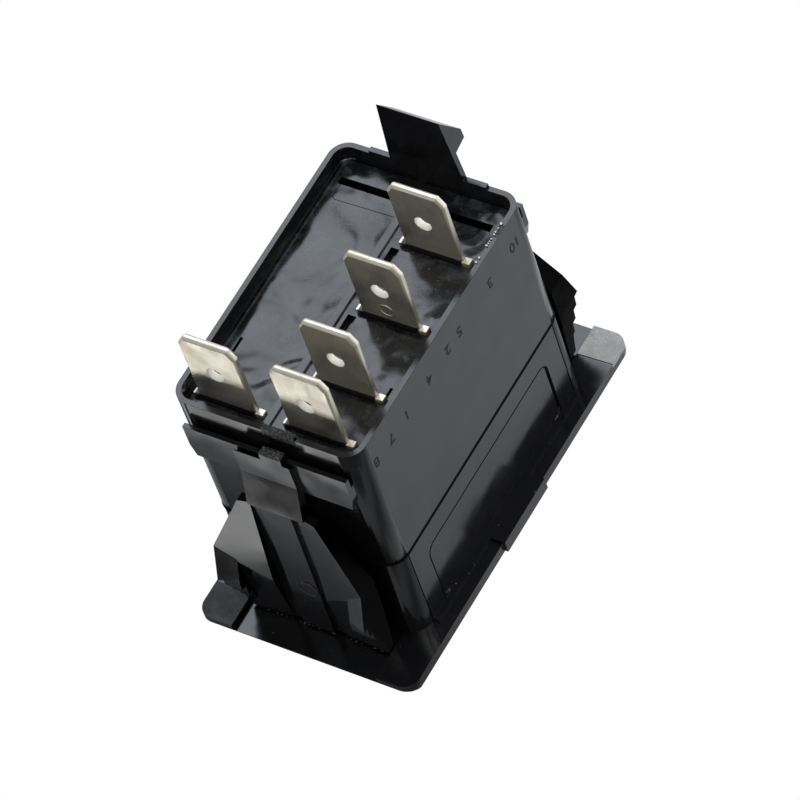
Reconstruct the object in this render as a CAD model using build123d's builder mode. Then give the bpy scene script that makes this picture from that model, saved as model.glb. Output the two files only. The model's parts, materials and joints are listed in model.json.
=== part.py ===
from build123d import *
from math import cos, radians, sin
import os

# Panel rocker switch, built piece by piece in millimetres.
# +Z points to the rear, where the terminals are; the panel lies on z = 0.
# X runs across the switch, Y along it; the tall barbed ear is on the +Y end.

os.makedirs("parts", exist_ok=True)

# Flange that covers the panel cut-out
flange_side = 1.95
flange_end = 5.87
flange_r = 1.6
flange_t = 1.2
flange_end_t = 0.75
flange_slope = 1.3
flange_bump = 0.35
flange_bump_l = 8.0
flange_ledge = 0.35
ledge_step = 0.7
end_relief = 0.75
end_relief_w = 16.4

# Front frame around the rocker
frame_land = 0.8
frame_end_land = 4.65
frame_r = 1.4
frame_h = 2.0
frame_taper = 36
cheek_h = 1.2
cheek_l = 8.0
cheek_taper = 10

# Box behind the panel: bezel skirt, then housing
body_w = 20.6
body_l = 32.3
body_r = 2.0
seam_z = 11.3
seam_gap = 0.25
seam_inset = 0.35
rim_z = 29.1
skirt_wall = 1.6
housing_wall = 1.0
tongue_h = 1.6
slip = 0.05
panel_l = 23.3
panel_h = 8.5
panel_r = 1.2
panel_depth = 0.15

# Shallow terminal recess at the rear
rim_wall = 0.57
recess_depth = 1.9
floor_t = 1.6
rib_w = 0.8
rib_h = 0.25
rib_x = -0.9
pocket_w = 0.9
pocket_l = 1.8
pocket_d = 0.7
notch_w = 0.3
notch_l = 1.7
notch_y = -7.45
notch_in = 1.45

# Rail, stem and snap wing on each end wall
rail_w = 18.0
rail_t = 0.9
rail_low = 21.8
rail_h = 4.5
rail_end_h = 2.9
rail_end_in = 0.4
rail_groove_w = 0.4
rail_groove_d = 1.4
stem_w = 6.2
stem_out = 1.45
stem_bend_z = 23.0
wing_t = 1.0
wing_w = 16.5
wing_root_z = 18.6
wing_root_w = 8.6
wing_root_out = 2.35
wing_knee_z = 10.95
wing_peak_z = 6.75
wing_foot_z = -0.3
wing_foot_w = 15.6
wing_foot_out = 2.7
spine_w = 3.4
spine_h = 0.4
wedge_lap = 0.1
wedge_skew = 0.19
wedge_lean = 0.095
wedge_under_skew = 0.05
wedge_under_lean = 0.107
tooth_in = 6.2
tooth_skew = 0.36
tooth_lean = 0.3
tooth_n = 4
tooth_pitch = 1.5
tooth_step = 0.6
tooth_fall = 0.15

# Barbed ear on the far end wall and the stub of the broken one
ear_t = 0.62
ear_h = 8.8
ear_top_w = 6.85
ear_base_w = 8.2
barb_out = 1.75
barb_drop = 3.5
barb_face = 1.2
barb_under = 0.3
strip_w = 13.0
strip_h = 0.35
stub_w = 2.4
stub_h = 0.9
stub_x = 1.2

# Quick-connect blades
blade_w = 6.35
blade_t = 0.8
blade_h = 9.9
blade_cut = 1.14
blade_cut_in = 0.75
blade_edge = 0.22
blade_hole_r = 0.9
blade_hole_down = 4.7
shoulder_w = 7.8
shoulder_h = 0.6
leg_w = 5.0
near_wall_gap = 1.19
far_wall_gap = 0.55
row_y = 0.15
row_pitch = 8.3
lamp_row_in = 1.88
spare_row_in = 2.68
spare_slot_w = 7.0

# Rocking contact
apex_z = 19.2
contact_t = 0.6
contact_w = 5.0
contact_arm = 8.0
contact_slope = 8
contact_notch = 1.0
ear_gap = 0.15
cradle_drop = 1.0
cradle_play = 0.3
rivet_r = 1.3
rivet_h = 0.6
rivet_arm = 6.6
shank_r = 0.7
foot_t = 0.8
contact_gap = 0.87
foot_len = 3.6

# Rocker, carrier and plunger
pivot_z = 3.2
trunnion_r = 1.5
trunnion_l = 0.9
side_gap = 0.3
end_gap = 1.05
rocker_lean = 0.8
rocker_front = 6.0
rocker_sag = 1.3
rocker_back = 1.0
rocker_wall = 1.25
rocker_round = 0.7
carrier_l = 10.0
bar_l = 4.4
bar_low = 1.3
bar_h = 3.9
tube_r = 2.1
tube_top = 12.4
bore_r = 1.5
bore_low = 4.4
plunger_r = 1.44
plunger_low = 8.2
plunger_gap = 0.1
nose_r = 0.9
nose_h = 3.0
spring_wire = 0.34
spring_turns = 4
spring_sides = 6
spring_r = 1.05
plate_t = 1.0
swing_slot_l = 8.4
swing_slot_w = 3.8

# Lamp circuit
lens_w = 7.8
lens_l = 2.4
lens_in = 4.5
lens_lip = 0.6
led_x = -0.3
led_in = 2.1
led_r = 1.5
led_rim_r = 1.9
led_rim_h = 0.8
led_h = 4.4
lead_r = 0.25
lead_pitch = 2.54
lamp_foot_z = 19.0
lamp_foot_t = 0.6
lamp_foot_gap = 1.3
lamp_foot_out = 0.7
resistor_r = 0.85
resistor_h = 3.6
resistor_low = 14.3
solder_z = 14.1

# Worked out from the values above
flange_w = body_w + 2 * flange_side
flange_l = body_l + 2 * flange_end
wall_y = body_l / 2
recess_w = body_w - 2 * rim_wall
recess_l = body_l - 2 * rim_wall
floor_z = rim_z - recess_depth
ceiling_z = floor_z - floor_t
house_z = seam_z + seam_gap
open_w = body_w - 2 * skirt_wall
open_l = body_l - 2 * skirt_wall
front_z = -flange_t - frame_h
cavity_w = body_w - 2 * housing_wall
cavity_l = body_l - 2 * housing_wall
tongue_w = cavity_w - 2 * slip
tongue_l = cavity_l - 2 * slip
tongue_top = seam_z + tongue_h
rail_top = rail_low + rail_h
col_near_x = recess_w / 2 - near_wall_gap - shoulder_w / 2
col_far_x = far_wall_gap + shoulder_w / 2 - recess_w / 2
lamp_row_y = lamp_row_in - recess_l / 2
spare_row_y = recess_l / 2 - spare_row_in
pocket_x = col_near_x - shoulder_w / 2 - pocket_w / 4
led_y = lamp_row_y + led_in
rocker_w = open_w - 2 * side_gap
rocker_l = open_l - 2 * end_gap
lens_y = lens_in - rocker_l / 2


def save(part, label):
    """Name a finished piece and write it out."""
    part.label = label
    export_step(part, f"parts/{label}.step")


# Bezel: flange, front frame, pivot cheeks and the skirt behind the panel
with BuildPart() as bezel:
    with BuildSketch(Plane.XY.offset(-flange_t)):
        RectangleRounded(flange_w, flange_l, flange_r)
    extrude(amount=flange_t)
    with BuildSketch(Plane.XY.offset(-flange_t)):
        Rectangle(flange_w + 2 * flange_bump, flange_bump_l)
    extrude(amount=flange_t + flange_ledge)
    with BuildSketch():
        Rectangle(body_w + 2 * ledge_step, body_l - 2 * body_r)
    extrude(amount=flange_ledge)
    with BuildSketch(Plane.XY.offset(front_z)):
        RectangleRounded(open_w + 2 * frame_land, open_l + 2 * frame_end_land, frame_r)
    extrude(amount=frame_h, taper=-frame_taper)
    with BuildSketch(Plane.XY.offset(front_z)):
        with Locations(((open_w + frame_land) / 2, 0), (-(open_w + frame_land) / 2, 0)):
            Rectangle(frame_land, cheek_l)
    extrude(amount=-cheek_h, taper=cheek_taper)
    with BuildSketch():
        with Locations((0, flange_l / 2), (0, -flange_l / 2)):
            Rectangle(end_relief_w, flange_l - body_l)
    extrude(amount=-end_relief, mode=Mode.SUBTRACT)
    for side in (1, -1):
        with BuildSketch(Plane.YZ):
            with BuildLine():
                Polyline(
                    (side * (flange_l / 2 - flange_slope), -flange_t),
                    (side * flange_l / 2, -flange_end_t),
                    (side * flange_l / 2, -flange_t),
                    close=True,
                )
            make_face()
        extrude(amount=flange_w, both=True, mode=Mode.SUBTRACT)
    with BuildSketch():
        RectangleRounded(body_w, body_l, body_r)
    extrude(amount=seam_z)
    with BuildSketch(Plane.XY.offset(seam_z)):
        RectangleRounded(tongue_w, tongue_l, body_r - housing_wall)
    extrude(amount=tongue_h)
    with BuildSketch(Plane.XY.offset(front_z - cheek_h)):
        RectangleRounded(open_w, open_l, body_r / 2)
    extrude(amount=tongue_top - front_z + cheek_h, mode=Mode.SUBTRACT)
    for side in (1, -1):
        with BuildSketch(Plane.YZ.offset(side * body_w / 2)) as side_panel:
            with Locations((0, (panel_h + flange_ledge) / 2)):
                Rectangle(panel_l, panel_h - flange_ledge)
            fillet(side_panel.vertices().group_by(Axis.Z)[-1], panel_r)
        extrude(amount=-side * panel_depth, mode=Mode.SUBTRACT)
        with BuildSketch(Plane.YZ.offset(side * (open_w / 2 - slip))):
            with Locations((0, pivot_z)):
                Circle(trunnion_r + slip)
        extrude(amount=side * (trunnion_l + slip), mode=Mode.SUBTRACT)
save(bezel.part, "bezel")

# Rail across the end wall, cut back at its lower corners
rail_end_low = rail_top - rail_end_h
with BuildPart() as rail:
    with BuildSketch(Plane.YZ):
        with BuildLine():
            Polyline(
                (wall_y - housing_wall / 2, rail_low),
                (wall_y + rail_t, rail_low),
                (wall_y + rail_t, rail_top),
                (wall_y + rail_groove_w, rail_top),
                (wall_y + rail_groove_w, rail_top - rail_groove_d),
                (wall_y - housing_wall / 2, rail_top - rail_groove_d),
                close=True,
            )
        make_face()
    extrude(amount=rail_w / 2, both=True)
    with BuildSketch(Plane.XZ):
        with BuildLine():
            Polyline(
                (rail_w / 2, rail_top),
                (rail_w / 2, rail_end_low),
                (rail_w / 2 - rail_end_in, rail_low),
                (rail_end_in - rail_w / 2, rail_low),
                (-rail_w / 2, rail_end_low),
                (-rail_w / 2, rail_top),
                close=True,
            )
        make_face()
    extrude(amount=flange_l, both=True, mode=Mode.INTERSECT)

# Teeth on the outer edge of a wing: a sloping top face, then steps down to the foot
wedge_in = stem_w / 2 - wedge_lap
core_in = (wing_t + spine_h) / 2
root_y = wall_y + wing_root_out
foot_y = wall_y + wing_foot_out
knee_y = root_y + wedge_skew * (wing_w - wing_root_w) / 2 + wedge_lean * (wing_root_z - wing_knee_z)
peak_y = knee_y + tooth_lean * (wing_knee_z - wing_peak_z)
steps = []
for tooth in range(tooth_n):
    step_y = peak_y - tooth_step * (tooth + 1)
    low = wing_peak_z - tooth_pitch * tooth
    steps.append((step_y, low - tooth_fall))
    steps.append((step_y, low - tooth_pitch))
with BuildPart() as teeth:
    with BuildSketch(Plane.YZ.offset(tooth_in)):
        with BuildLine():
            Polyline(
                (foot_y - core_in, wing_foot_z),
                (root_y - core_in, wing_knee_z),
                (peak_y, wing_knee_z),
                (peak_y, wing_peak_z),
                *steps,
                (foot_y, wing_foot_z),
                close=True,
            )
        make_face()
    extrude(amount=wing_w / 2 - tooth_in)
    knee = (wing_w / 2, knee_y, wing_knee_z)
    split(bisect_by=Plane(knee, z_dir=(-tooth_skew, 1, tooth_lean)), keep=Keep.BOTTOM)

# Wing: wedges that carry the teeth, a plate between them with a spine, and the stem
with BuildPart() as wing:
    with BuildSketch(Plane.YZ.offset(wedge_in)):
        with BuildLine():
            Polyline(
                (foot_y - core_in, wing_foot_z),
                (root_y - core_in, wing_root_z),
                (peak_y, wing_root_z),
                (peak_y, wing_foot_z),
                close=True,
            )
        make_face()
    extrude(amount=wing_w / 2 - wedge_in)
    root = (wing_root_w / 2, root_y, wing_root_z)
    foot = (wing_foot_w / 2, foot_y, wing_foot_z)
    split(bisect_by=Plane(root, z_dir=(-wedge_skew, 1, wedge_lean)), keep=Keep.BOTTOM)
    split(bisect_by=Plane(foot, z_dir=(-wedge_under_skew, 1, -wedge_under_lean)), keep=Keep.BOTTOM)
    add(teeth.part)
    for half_w, drop in ((wing_w / 2, spine_h), (spine_w / 2, 0)):
        with BuildSketch(Plane.YZ):
            with BuildLine():
                Polyline(
                    (root_y - drop, wing_root_z),
                    (foot_y - drop, wing_foot_z),
                    (foot_y - wing_t, wing_foot_z),
                    (root_y - wing_t, wing_root_z),
                    close=True,
                )
            make_face()
        extrude(amount=half_w)
    with BuildSketch(Plane.XZ):
        with BuildLine():
            Polyline(
                (0, wing_root_z),
                (wing_root_w / 2, wing_root_z),
                (wing_w / 2, wing_knee_z),
                (wing_w / 2, wing_peak_z),
                (wing_foot_w / 2, wing_foot_z),
                (0, wing_foot_z),
                close=True,
            )
        make_face()
    extrude(amount=flange_l, both=True, mode=Mode.INTERSECT)
    mirror(about=Plane.YZ)
    with BuildSketch(Plane.YZ):
        with BuildLine():
            Polyline(
                (wall_y + stem_out - wing_t, rail_top - rail_groove_d),
                (wall_y + stem_out, rail_top),
                (wall_y + stem_out, stem_bend_z),
                (root_y, wing_root_z),
                (root_y - wing_t, wing_root_z),
                (wall_y + stem_out - wing_t, stem_bend_z),
                close=True,
            )
        make_face()
    extrude(amount=stem_w / 2, both=True)
    add(rail.part)

# Barbed ear that stands above the far rim
ear_y = wall_y - rim_wall
barb_z = rim_z + ear_h - barb_drop
with BuildPart() as ear:
    with BuildSketch(Plane.YZ):
        with BuildLine():
            Polyline(
                (ear_y, floor_z),
                (ear_y, rim_z + ear_h),
                (ear_y + ear_t + barb_out, barb_z),
                (ear_y + ear_t + barb_out, barb_z - barb_face),
                (ear_y + ear_t, barb_z - barb_face - barb_under),
                (ear_y + ear_t, floor_z),
                close=True,
            )
        make_face()
    extrude(amount=ear_base_w / 2, both=True)
    with BuildSketch(Plane.XZ):
        with BuildLine():
            Polyline(
                (ear_base_w / 2, floor_z),
                (ear_base_w / 2, rim_z),
                (ear_top_w / 2, rim_z + ear_h),
                (-ear_top_w / 2, rim_z + ear_h),
                (-ear_base_w / 2, rim_z),
                (-ear_base_w / 2, floor_z),
                close=True,
            )
        make_face()
    extrude(amount=flange_l, both=True, mode=Mode.INTERSECT)

# Housing: closed box with the terminal recess, rails, wings and ear in one moulding
with BuildPart() as housing:
    with BuildSketch(Plane.XY.offset(house_z)):
        RectangleRounded(body_w, body_l, body_r)
    extrude(amount=rim_z - house_z)
    with BuildSketch(Plane.XY.offset(floor_z)):
        RectangleRounded(recess_w, recess_l, body_r - rim_wall)
    extrude(amount=recess_depth, mode=Mode.SUBTRACT)
    with BuildSketch(Plane.XY.offset(house_z)):
        RectangleRounded(cavity_w, cavity_l, body_r - housing_wall)
    extrude(amount=ceiling_z - house_z, mode=Mode.SUBTRACT)
    with BuildSketch(Plane.XY.offset(floor_z)):
        with Locations((rib_x, 0)):
            Rectangle(rib_w, recess_l)
    extrude(amount=rib_h)
    add(wing.part)
    mirror(wing.part, about=Plane.XZ)
    with BuildSketch(Plane.XY.offset(floor_z)):
        with Locations((0, wall_y - rim_wall / 2)):
            Rectangle(strip_w, rim_wall)
    extrude(amount=recess_depth + strip_h)
    add(ear.part)
    with BuildSketch(Plane.XY.offset(rail_top - rail_groove_d)):
        with Locations((stub_x, wing_t / 2 - wall_y - stem_out)):
            Rectangle(stub_w, wing_t)
    extrude(amount=rail_groove_d + stub_h)
    blade_places = [(col_near_x, row_y + row * row_pitch) for row in (-1, 0, 1)]
    blade_places += [(col_near_x, lamp_row_y), (col_far_x, lamp_row_y)]
    with BuildSketch(Plane.XY.offset(ceiling_z)):
        with Locations(*blade_places):
            Rectangle(leg_w + 2 * slip, blade_t + 2 * slip)
        with Locations((col_near_x, spare_row_y), (col_far_x, spare_row_y)):
            Rectangle(spare_slot_w, blade_t)
    extrude(amount=floor_t + rib_h, mode=Mode.SUBTRACT)
    with BuildSketch(Plane.XY.offset(floor_z)):
        with Locations(*blade_places):
            Rectangle(shoulder_w + 2 * slip, blade_t + 2 * slip)
    extrude(amount=rib_h, mode=Mode.SUBTRACT)
    with BuildSketch(Plane.XY.offset(floor_z)):
        with Locations(*[(pocket_x, y - pocket_l / 2 - blade_t) for x, y in blade_places[:3]]):
            Rectangle(pocket_w, pocket_l)
        with Locations((recess_w / 2 - notch_in, notch_y), (notch_in - recess_w / 2, notch_y)):
            Rectangle(notch_w, notch_l)
    extrude(amount=-pocket_d, mode=Mode.SUBTRACT)
save(housing.part, "housing")

# Gasket squeezed in the seam between skirt and housing
with BuildPart() as gasket:
    with BuildSketch(Plane.XY.offset(seam_z)):
        RectangleRounded(body_w - 2 * seam_inset, body_l - 2 * seam_inset, body_r - seam_inset)
        RectangleRounded(cavity_w, cavity_l, body_r - housing_wall, mode=Mode.SUBTRACT)
    extrude(amount=seam_gap)
save(gasket.part, "seam_gasket")

# Plate that closes the contact chamber and carries the lamp
with BuildPart() as chamber_plate:
    with BuildSketch(Plane.XY.offset(tongue_top)):
        RectangleRounded(tongue_w, tongue_l, body_r - housing_wall)
        with Locations((col_near_x, row_y)):
            SlotOverall(swing_slot_l, swing_slot_w, rotation=90, mode=Mode.SUBTRACT)
        with Locations(*[(led_x + side * lead_pitch / 2, led_y) for side in (-1, 1)]):
            Circle(lead_r + slip, mode=Mode.SUBTRACT)
    extrude(amount=plate_t)
save(chamber_plate.part, "chamber_plate")


def blade_outline(x):
    """Outline of a quick-connect blade in the XZ plane, standing on its shoulders."""
    half = blade_w / 2
    tip = floor_z + blade_h
    Polyline(
        (x - half, floor_z),
        (x - half, tip - blade_cut),
        (x - half + blade_cut_in, tip),
        (x + half - blade_cut_in, tip),
        (x + half, tip - blade_cut),
        (x + half, floor_z),
        close=True,
    )


def terminal(x, y, leg_low):
    """Blade outside the housing and a flat leg inside it, down to leg_low."""
    with BuildPart() as tab:
        with BuildSketch(Plane.XZ.offset(-y)):
            with BuildLine():
                blade_outline(x)
            make_face()
        extrude(amount=blade_t / 2, both=True)
        rims = tab.faces().filter_by(Axis.Y, reverse=True).sort_by(Axis.Z)[1:]
        rim_edges = [edge for rim in rims for edge in rim.edges().filter_by(Axis.Y, reverse=True)]
        chamfer(rim_edges, blade_edge)
        with BuildSketch(Plane.XZ.offset(-y)):
            with Locations((x, floor_z + blade_h - blade_hole_down)):
                Circle(blade_hole_r)
        extrude(amount=blade_t, both=True, mode=Mode.SUBTRACT)
        with BuildSketch(Plane.XZ.offset(-y)):
            with Locations((x, floor_z + shoulder_h / 2)):
                Rectangle(shoulder_w, shoulder_h)
            with Locations((x, (floor_z + leg_low) / 2)):
                Rectangle(leg_w, floor_z - leg_low)
        extrude(amount=blade_t / 2, both=True)
    return tab.part


def rivet(seat, shank, label):
    """Contact rivet: a head on the seat plane and a shank behind it."""
    with BuildPart() as head:
        with BuildSketch(seat):
            Circle(rivet_r)
        extrude(amount=rivet_h)
        with BuildSketch(seat):
            Circle(shank_r)
        extrude(amount=-shank)
    save(head.part, label)


# Outer terminals: each ends in a foot that carries a fixed contact rivet
slope = radians(contact_slope)
rivet_drop = rivet_arm * sin(slope)
foot_low = apex_z - rivet_drop + rivet_h + contact_gap + rivet_h
for number, side in ((1, -1), (3, 1)):
    y = row_y + side * row_pitch
    rivet_y = row_y + side * rivet_arm
    with BuildPart() as contact_terminal:
        add(terminal(col_near_x, y, foot_low))
        with BuildSketch(Plane.XY.offset(foot_low)):
            with Locations((col_near_x, y + side * (blade_t - foot_len) / 2)):
                Rectangle(leg_w, foot_len)
        extrude(amount=foot_t)
        with BuildSketch(Plane.XY.offset(foot_low)):
            with Locations((col_near_x, rivet_y)):
                Circle(shank_r)
        extrude(amount=foot_t, mode=Mode.SUBTRACT)
    save(contact_terminal.part, f"terminal_{number}")
    under_foot = Plane((col_near_x, rivet_y, foot_low), x_dir=(1, 0, 0), z_dir=(0, 0, -1))
    rivet(under_foot, foot_t, f"fixed_rivet_{number}")

# Middle terminal: the flat end of its leg is the edge the contact rocks on
with BuildPart() as common_terminal:
    add(terminal(col_near_x, row_y, apex_z))
    ear_in = contact_w / 2 - contact_notch + ear_gap
    for side in (1, -1):
        with BuildSketch(Plane.XY.offset(apex_z - cradle_drop)):
            with Locations((col_near_x + side * (ear_in + leg_w / 2) / 2, row_y)):
                Rectangle(leg_w / 2 - ear_in, blade_t)
        extrude(amount=2 * cradle_drop)
save(common_terminal.part, "terminal_2")

# Contact blade: a strip bent to a shallow roof, notched for the cradle
arm_y = contact_arm * cos(slope)
arm_z = contact_arm * sin(slope)
skin = contact_t / cos(slope)
with BuildPart() as contact_blade:
    with BuildSketch(Plane.YZ.offset(col_near_x)):
        with BuildLine():
            Polyline(
                (row_y, apex_z),
                (row_y + arm_y, apex_z - arm_z),
                (row_y + arm_y - contact_t * sin(slope), apex_z - arm_z - contact_t * cos(slope)),
                (row_y, apex_z - skin),
                (row_y - arm_y + contact_t * sin(slope), apex_z - arm_z - contact_t * cos(slope)),
                (row_y - arm_y, apex_z - arm_z),
                close=True,
            )
        make_face()
    extrude(amount=contact_w / 2, both=True)
    with BuildSketch(Plane.XY.offset(apex_z)):
        with Locations((col_near_x + contact_w / 2, row_y), (col_near_x - contact_w / 2, row_y)):
            Rectangle(2 * contact_notch, blade_t + 2 * cradle_play)
    extrude(amount=-2 * contact_t, mode=Mode.SUBTRACT)
    seats = []
    for side in (-1, 1):
        on_arm = (col_near_x, row_y + side * rivet_arm * cos(slope), apex_z - rivet_drop)
        seats.append(Plane(on_arm, x_dir=(1, 0, 0), z_dir=(0, side * sin(slope), cos(slope))))
        with BuildSketch(seats[-1]):
            Circle(shank_r)
        extrude(amount=-contact_t, mode=Mode.SUBTRACT)
save(contact_blade.part, "contact_blade")
rivet(seats[0], contact_t, "blade_rivet_1")
rivet(seats[1], contact_t, "blade_rivet_3")

# Lamp terminals: each leg ends in a foot that reaches over the lamp leads
foot_y = lamp_row_y - blade_t / 2
foot_reach = led_y + lamp_foot_out - foot_y
for number, x, side in ((8, col_near_x, 1), (7, col_far_x, -1)):
    inner = led_x + side * lamp_foot_gap / 2
    with BuildPart() as lamp_terminal:
        add(terminal(x, lamp_row_y, lamp_foot_z))
        with BuildSketch(Plane.XY.offset(lamp_foot_z)):
            with Locations(((inner + x) / 2, foot_y + foot_reach / 2)):
                Rectangle(abs(x - inner), foot_reach)
        extrude(amount=lamp_foot_t)
    save(lamp_terminal.part, f"terminal_{number}")

# Lamp: flanged body under the plate, leads up through it
with BuildPart() as led:
    with BuildSketch(Plane.XY.offset(tongue_top)):
        with Locations((led_x, led_y)):
            Circle(led_rim_r)
    extrude(amount=-led_rim_h)
    with BuildSketch(Plane.XY.offset(tongue_top)):
        with Locations((led_x, led_y)):
            Circle(led_r)
    extrude(amount=-led_h)
    chamfer(led.edges().filter_by(GeomType.CIRCLE).sort_by(Axis.Z)[0], led_r / 3)
    for side, lead_top in ((1, lamp_foot_z), (-1, solder_z)):
        with BuildSketch(Plane.XY.offset(tongue_top)):
            with Locations((led_x + side * lead_pitch / 2, led_y)):
                Circle(lead_r)
        extrude(amount=lead_top - tongue_top)
save(led.part, "led")

# Resistor standing between the short lead and its terminal
with BuildPart() as resistor:
    with Locations((led_x - lead_pitch / 2, led_y)):
        with BuildSketch(Plane.XY.offset(solder_z)):
            Circle(lead_r)
    extrude(amount=lamp_foot_z - solder_z)
    with BuildSketch(Plane.XY.offset(resistor_low)):
        Circle(resistor_r)
    extrude(amount=resistor_h)
save(resistor.part, "resistor")


def rocker_outline(inset):
    """Side outline of the paddle, drawn inwards from its outer skin by inset."""
    back = rocker_l / 2 - inset
    front = back - rocker_lean
    low = inset - rocker_front
    ThreePointArc((-front, low), (0, low + rocker_sag), (front, low))
    Polyline((front, low), (back, rocker_back), (-back, rocker_back), (-front, low))


# Rocker: hollow paddle with a window for the lens
inner_w = rocker_w - 2 * rocker_wall
with BuildPart() as rocker:
    with BuildSketch(Plane.YZ):
        with BuildLine():
            rocker_outline(0)
        make_face()
    extrude(amount=rocker_w / 2, both=True)
    fillet(rocker.faces().sort_by(Axis.Z)[0].edges(), rocker_round)
    with BuildSketch(Plane.YZ):
        with BuildLine():
            rocker_outline(rocker_wall)
        make_face()
    extrude(amount=inner_w / 2, both=True, mode=Mode.SUBTRACT)
    with BuildSketch(Plane.XY.offset(-rocker_front)):
        with Locations((0, lens_y)):
            Rectangle(lens_w, lens_l)
    extrude(amount=rocker_front, mode=Mode.SUBTRACT)
save(rocker.part, "rocker")

# Lens pushed in from behind, with a lip that rests on the inside of the paddle
with BuildPart() as lens:
    with BuildSketch(Plane.YZ):
        with BuildLine():
            rocker_outline(0)
        make_face()
    extrude(amount=lens_w / 2 - slip, both=True)
    with BuildSketch(Plane.XY.offset(-rocker_front)):
        with Locations((0, lens_y)):
            Rectangle(lens_w - 2 * slip, lens_l - 2 * slip)
    extrude(amount=rocker_front, mode=Mode.INTERSECT)
    with BuildPart(mode=Mode.PRIVATE) as lip:
        with BuildSketch(Plane.YZ):
            with BuildLine():
                rocker_outline(rocker_wall)
            make_face()
        extrude(amount=lens_w / 2 + lens_lip, both=True)
        with BuildSketch(Plane.XY.offset(-rocker_front)):
            with Locations((0, lens_y)):
                Rectangle(lens_w + 2 * lens_lip, lens_l + 2 * lens_lip)
        extrude(amount=rocker_front, mode=Mode.INTERSECT)
    add(lip.part)
    with BuildSketch(Plane.YZ):
        with BuildLine():
            rocker_outline(rocker_wall + lens_lip)
        make_face()
    extrude(amount=rocker_w, both=True, mode=Mode.SUBTRACT)
save(lens.part, "rocker_lens")

# Carrier: block inside the paddle, trunnion bar and the guide tube
with BuildPart() as carrier:
    with BuildSketch(Plane.YZ):
        with BuildLine():
            rocker_outline(rocker_wall)
        make_face()
    extrude(amount=inner_w / 2 - slip, both=True)
    with BuildSketch(Plane.XY.offset(-rocker_front)):
        Rectangle(rocker_w, carrier_l)
    extrude(amount=rocker_front + rocker_back, mode=Mode.INTERSECT)
    with BuildSketch():
        Rectangle(inner_w - 2 * slip, bar_l)
    extrude(amount=bar_low)
    with BuildSketch(Plane.XY.offset(bar_low)):
        Rectangle(rocker_w, bar_l)
    extrude(amount=bar_h)
    with BuildSketch(Plane.YZ):
        with Locations((0, pivot_z)):
            Circle(trunnion_r)
    extrude(amount=open_w / 2 + trunnion_l - 2 * slip, both=True)
    with BuildSketch(Plane.XY.offset(bar_low)):
        with Locations((col_near_x, row_y)):
            Circle(tube_r)
    extrude(amount=tube_top - bar_low)
    with BuildSketch(Plane.XY.offset(bore_low)):
        with Locations((col_near_x, row_y)):
            Circle(bore_r)
    extrude(amount=tube_top - bore_low, mode=Mode.SUBTRACT)
save(carrier.part, "carrier")

# Plunger that slides in the tube and presses on the contact blade
tip_z = apex_z - skin - plunger_gap
with BuildPart() as plunger:
    with BuildSketch(Plane.XY.offset(plunger_low)):
        with Locations((col_near_x, row_y)):
            Circle(plunger_r)
    extrude(amount=tip_z - nose_h - plunger_low)
    with BuildSketch(Plane.XY.offset(plunger_low)):
        with Locations((col_near_x, row_y)):
            Circle(nose_r)
    extrude(amount=tip_z - plunger_low)
    chamfer(plunger.edges().filter_by(GeomType.CIRCLE).sort_by(Axis.Z)[-1], nose_r / 2)
save(plunger.part, "plunger")

# Spring between the bottom of the bore and the plunger
spring_low = bore_low + spring_wire / 2
spring_rise = plunger_low - spring_low - spring_wire / 2
with BuildPart() as spring:
    with BuildLine():
        coil_axis = (col_near_x, row_y, spring_low)
        Helix(spring_rise / spring_turns, spring_rise, spring_r, center=coil_axis)
    with BuildSketch(Plane((col_near_x + spring_r, row_y, spring_low), z_dir=(0, 1, 0))):
        RegularPolygon(spring_wire / 2, spring_sides)
    sweep()
save(spring.part, "plunger_spring")
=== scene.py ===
# %% [markdown]
# # A panel rocker switch, seen from its terminals
#
# The switch is a black moulded box that snaps into a panel. Its solids come from
# the CAD frame and already have the right size, so this file gives them softened
# edges, finishes and the small things a moulding tool or a rough life leaves on
# them. Everything is in metres, in the frame of the CAD: the panel lies on z = 0
# and +Z points to the rear, where the terminals stand.

import json
import math
import random

import bmesh
import bpy
from mathutils import Matrix, Vector, noise


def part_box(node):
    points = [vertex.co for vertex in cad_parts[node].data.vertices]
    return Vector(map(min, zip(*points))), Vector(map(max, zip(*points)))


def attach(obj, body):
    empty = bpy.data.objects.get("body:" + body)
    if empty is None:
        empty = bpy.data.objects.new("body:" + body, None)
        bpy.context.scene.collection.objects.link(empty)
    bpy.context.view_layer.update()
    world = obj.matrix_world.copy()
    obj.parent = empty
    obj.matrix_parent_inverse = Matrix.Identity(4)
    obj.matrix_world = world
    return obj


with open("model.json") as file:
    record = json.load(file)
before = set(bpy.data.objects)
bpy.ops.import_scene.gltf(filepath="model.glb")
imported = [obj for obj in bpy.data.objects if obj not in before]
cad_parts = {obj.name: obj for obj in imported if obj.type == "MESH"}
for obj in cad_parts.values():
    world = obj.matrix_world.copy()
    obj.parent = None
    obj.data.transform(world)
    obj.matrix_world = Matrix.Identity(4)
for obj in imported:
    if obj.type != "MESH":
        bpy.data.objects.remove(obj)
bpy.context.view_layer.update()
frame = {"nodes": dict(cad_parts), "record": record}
nodes = frame["nodes"]
MM = 0.001

# %% [markdown]
# The camera is a long lens that looks down on the terminals from the corner
# between the near end and the numbered wall. Its place and turn are written as a
# matrix: the first three columns are the camera's right, up and backward
# directions. They could also be set with a Track To constraint, but a matrix says
# the roll exactly.

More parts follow.
